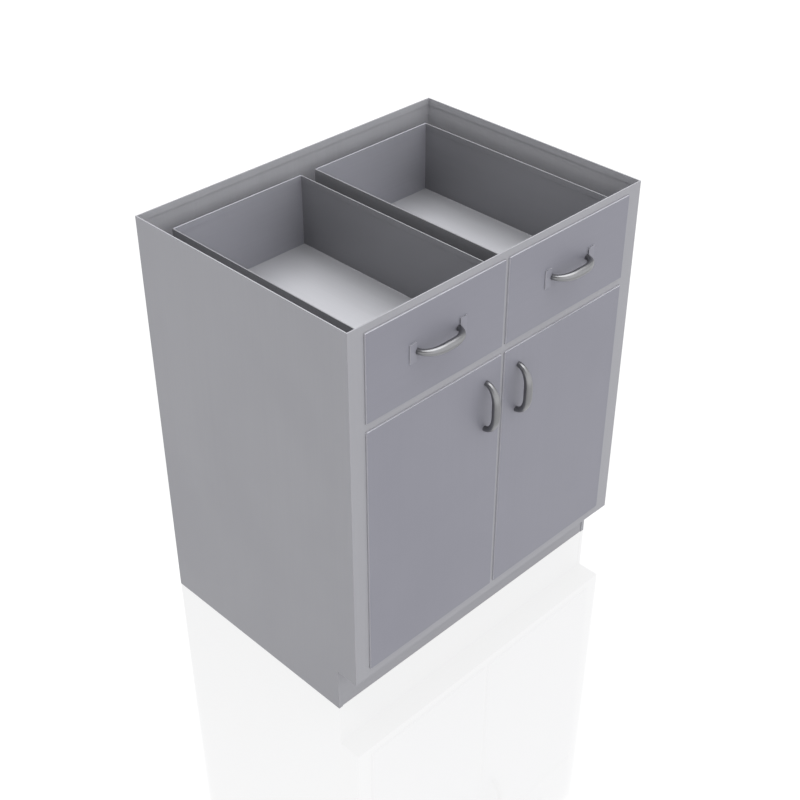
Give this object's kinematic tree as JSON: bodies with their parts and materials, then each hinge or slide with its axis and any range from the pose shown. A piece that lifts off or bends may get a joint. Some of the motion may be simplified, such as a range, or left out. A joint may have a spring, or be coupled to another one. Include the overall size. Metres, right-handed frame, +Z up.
{
  "type": "base cabinet",
  "caption": "Open-topped stainless steel base cabinet with side-by-side drawers above a pair of doors, arched pulls, a recessed kick and an inner shelf.",
  "frame": {"origin": "centre of the overall footprint (pulls included) on the floor", "axes": "+X to the right seen from the front, +Y to the back, +Z up; the drawers and doors face -Y"},
  "size_m": [0.762, 0.5976, 0.8975],
  "materials": {
    "brushed_body": "fine satin stainless sheet, vertical grain on sides and stiles, horizontal on rails",
    "brushed_front": "fine satin stainless sheet, slightly bluer",
    "brushed_interior": "mill-satin stainless sheet",
    "satin_pull": "satin cast stainless",
    "zinc_plated_steel": "bright zinc plated",
    "screw_steel": "turned stainless",
    "white_nylon": "matt moulded nylon",
    "black_rubber": "soft rubber",
    "magnet_iron": "ferrite magnet with steel pole plates",
    "deadening_board": "pressed fibre board"
  },
  "bodies": {
    "carcass": {"back_panel": "brushed_body", "bottom_panel": "brushed_interior", "bottom_rail": "brushed_body", "catch_housings": "white_nylon", "catch_magnets": "magnet_iron", "catch_screws": "screw_steel", "centre_slide_support": "brushed_interior", "floor_stiffener": "brushed_interior", "kick_board": "brushed_body", "lower_mullion": "brushed_body", "mid_rail": "brushed_body", "pivot_brackets": "zinc_plated_steel", "pivot_pins": "screw_steel", "shelf": "brushed_interior", "shelf_clips": "brushed_interior", "shelf_standards": "brushed_interior", "side_panel_left": "brushed_body", "side_panel_right": "brushed_body", "slide_left_cabinet_members": "zinc_plated_steel", "slide_mount_left": "brushed_interior", "slide_mount_right": "brushed_interior", "slide_right_cabinet_members": "zinc_plated_steel", "slide_screws": "screw_steel", "thrust_washers": "white_nylon", "top_rail": "brushed_body", "upper_mullion": "brushed_body"},
    "drawer_left": {"drawer_left_front_pan": "brushed_front", "drawer_left_inner_front": "brushed_interior", "drawer_left_pull": "satin_pull", "drawer_left_pull_screws": "screw_steel", "drawer_left_card_clips": "brushed_front", "drawer_left_body": "brushed_interior", "drawer_left_back": "brushed_interior", "slide_left_drawer_members": "zinc_plated_steel"},
    "slide_middle_left": {"slide_left_middle_members": "zinc_plated_steel"},
    "door_left": {"door_left_outer_pan": "brushed_front", "door_left_inner_pan": "brushed_interior", "door_left_core": "deadening_board", "door_left_pull": "satin_pull", "door_left_pull_screws": "screw_steel", "door_left_bushings": "white_nylon", "door_left_bumpers": "black_rubber", "door_left_strike": "zinc_plated_steel"},
    "drawer_right": {"drawer_right_front_pan": "brushed_front", "drawer_right_inner_front": "brushed_interior", "drawer_right_pull": "satin_pull", "drawer_right_pull_screws": "screw_steel", "drawer_right_card_clips": "brushed_front", "drawer_right_body": "brushed_interior", "drawer_right_back": "brushed_interior", "slide_right_drawer_members": "zinc_plated_steel"},
    "slide_middle_right": {"slide_right_middle_members": "zinc_plated_steel"},
    "door_right": {"door_right_outer_pan": "brushed_front", "door_right_inner_pan": "brushed_interior", "door_right_core": "deadening_board", "door_right_pull": "satin_pull", "door_right_pull_screws": "screw_steel", "door_right_bushings": "white_nylon", "door_right_bumpers": "black_rubber", "door_right_strike": "zinc_plated_steel"}
  },
  "joints": [
    {"name": "drawer_left_slide", "type": "slide", "parent": "carcass", "child": "drawer_left", "axis": [0, -1, 0], "range_m": [0, 0.4]},
    {"name": "slide_middle_left_slide", "type": "slide", "parent": "carcass", "child": "slide_middle_left", "axis": [0, -1, 0], "range_m": [0, 0.2]},
    {"name": "drawer_right_slide", "type": "slide", "parent": "carcass", "child": "drawer_right", "axis": [0, -1, 0], "range_m": [0, 0.4]},
    {"name": "slide_middle_right_slide", "type": "slide", "parent": "carcass", "child": "slide_middle_right", "axis": [0, -1, 0], "range_m": [0, 0.2]},
    {"name": "door_left_hinge", "type": "hinge", "parent": "carcass", "child": "door_left", "pos_m": [-0.294, -0.2564, 0.405], "axis": [0, 0, -1], "range_deg": [0, 110]},
    {"name": "door_right_hinge", "type": "hinge", "parent": "carcass", "child": "door_right", "pos_m": [0.294, -0.2564, 0.405], "axis": [0, 0, 1], "range_deg": [0, 110]}
  ],
  "couplings": [
    {"joint": "slide_middle_left_slide", "follows": "drawer_left_slide", "ratio": 0.5},
    {"joint": "slide_middle_right_slide", "follows": "drawer_right_slide", "ratio": 0.5}
  ]
}
